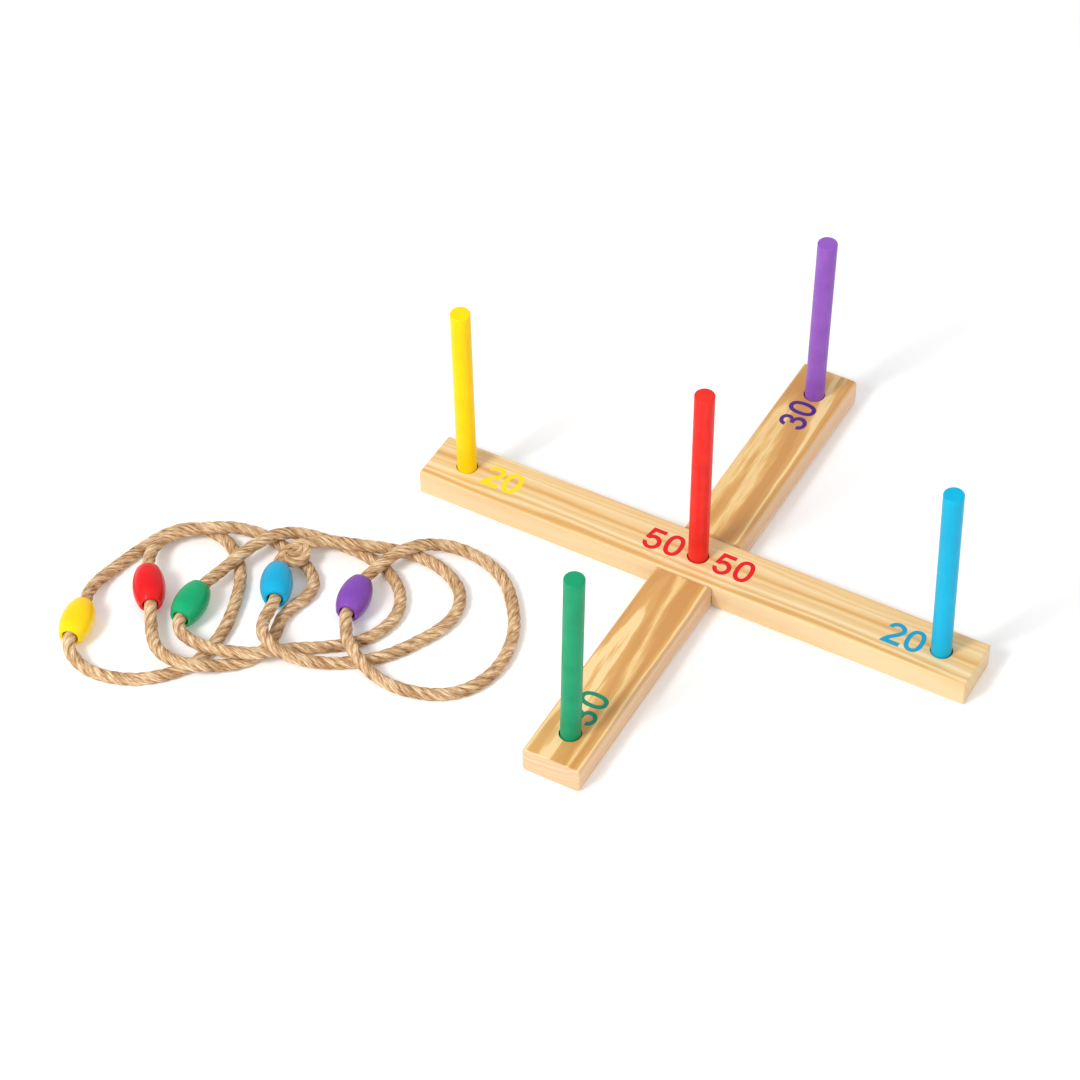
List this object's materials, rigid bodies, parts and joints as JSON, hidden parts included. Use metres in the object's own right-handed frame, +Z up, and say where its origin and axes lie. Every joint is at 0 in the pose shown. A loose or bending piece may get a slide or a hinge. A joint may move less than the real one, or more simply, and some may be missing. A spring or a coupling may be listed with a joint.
{
  "type": "ring toss set",
  "caption": "Lawn ring toss set: a half-lapped pine cross with painted upright pegs and score numbers, and rope rings joined by barrel beads.",
  "frame": {"origin": "on the ground under the centre of the cross, at the lower board's underside", "axes": "+X along the upper board towards its blue peg, +Y along the lower board towards its purple peg, +Z up"},
  "size_m": [0.6809, 0.5857, 0.2008],
  "materials": {
    "pine_honey": "clear satin pine",
    "pine_pale": "clear satin pine",
    "paint_yellow": "satin paint",
    "paint_red": "satin paint",
    "paint_purple": "satin paint",
    "paint_blue": "satin paint",
    "paint_green": "satin paint",
    "jute": "twisted jute rope"
  },
  "bodies": {
    "lower_board": {"lower_board": "pine_honey"},
    "upper_board": {"upper_board": "pine_pale"},
    "peg_yellow": {"peg_yellow": "paint_yellow"},
    "peg_red": {"peg_red": "paint_red"},
    "peg_blue": {"peg_blue": "paint_blue"},
    "peg_purple": {"peg_purple": "paint_purple"},
    "peg_green": {"peg_green": "paint_green"},
    "ring_yellow": {"bead_yellow": "paint_yellow", "rope_yellow": "jute"},
    "ring_red": {"bead_red": "paint_red", "rope_red": "jute"},
    "ring_green": {"bead_green": "paint_green", "rope_green": "jute"},
    "ring_blue": {"bead_blue": "paint_blue", "rope_blue": "jute"},
    "ring_purple": {"bead_purple": "paint_purple", "rope_purple": "jute"}
  },
  "joints": [
    {"name": "upper_board_lift", "type": "slide", "parent": "lower_board", "child": "upper_board", "axis": [0, 0, 1], "range_m": [0, 0.05]},
    {"name": "peg_yellow_pull", "type": "slide", "parent": "upper_board", "child": "peg_yellow", "axis": [0.0017, -0.0209, 0.9998], "range_m": [0, 0.05]},
    {"name": "peg_red_pull", "type": "slide", "parent": "upper_board", "child": "peg_red", "axis": [-0.0096, 0.0288, 0.9995], "range_m": [0, 0.05]},
    {"name": "peg_blue_pull", "type": "slide", "parent": "upper_board", "child": "peg_blue", "axis": [-0.0192, -0.0087, 0.9998], "range_m": [0, 0.05]},
    {"name": "peg_purple_pull", "type": "slide", "parent": "lower_board", "child": "peg_purple", "axis": [0.0244, -0.0227, 0.9994], "range_m": [0, 0.05]},
    {"name": "peg_green_pull", "type": "slide", "parent": "lower_board", "child": "peg_green", "axis": [0.0175, 0.0052, 0.9998], "range_m": [0, 0.05]},
    {"name": "ring_yellow_lift", "type": "slide", "parent": "lower_board", "child": "ring_yellow", "axis": [0, 0, 1], "range_m": [0, 0.08]},
    {"name": "ring_red_lift", "type": "slide", "parent": "ring_yellow", "child": "ring_red", "axis": [0, 0, 1], "range_m": [0, 0.08]},
    {"name": "ring_green_lift", "type": "slide", "parent": "ring_red", "child": "ring_green", "axis": [0, 0, 1], "range_m": [0, 0.08]},
    {"name": "ring_blue_lift", "type": "slide", "parent": "ring_green", "child": "ring_blue", "axis": [0, 0, 1], "range_m": [0, 0.08]},
    {"name": "ring_purple_lift", "type": "slide", "parent": "ring_blue", "child": "ring_purple", "axis": [0, 0, 1], "range_m": [0, 0.08]}
  ]
}
